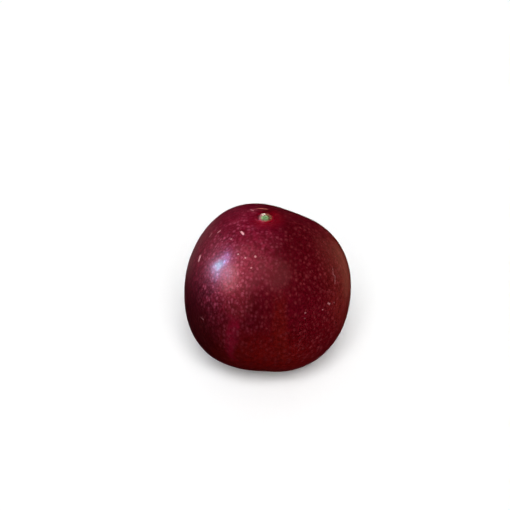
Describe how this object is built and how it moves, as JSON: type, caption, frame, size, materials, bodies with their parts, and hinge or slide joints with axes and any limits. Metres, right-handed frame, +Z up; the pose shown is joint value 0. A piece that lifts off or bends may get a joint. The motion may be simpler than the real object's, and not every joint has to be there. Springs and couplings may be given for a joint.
{
  "type": "passion fruit",
  "caption": "Whole ripe purple passion fruit, nearly round, standing on a small flat spot at its blossom end, with the green stalk scar in a shallow dimple at its top.",
  "frame": {"origin": "on the surface that the fruit stands on, under the middle of its outline", "axes": "+Z up from the blossom end to the stalk's scar, -Y towards the front, +X to the right seen from the front"},
  "size_m": [0.0558, 0.056, 0.0539],
  "materials": {
    "rind": "satin"
  },
  "bodies": {
    "root": {"passion_fruit": "rind"}
  },
  "joints": []
}
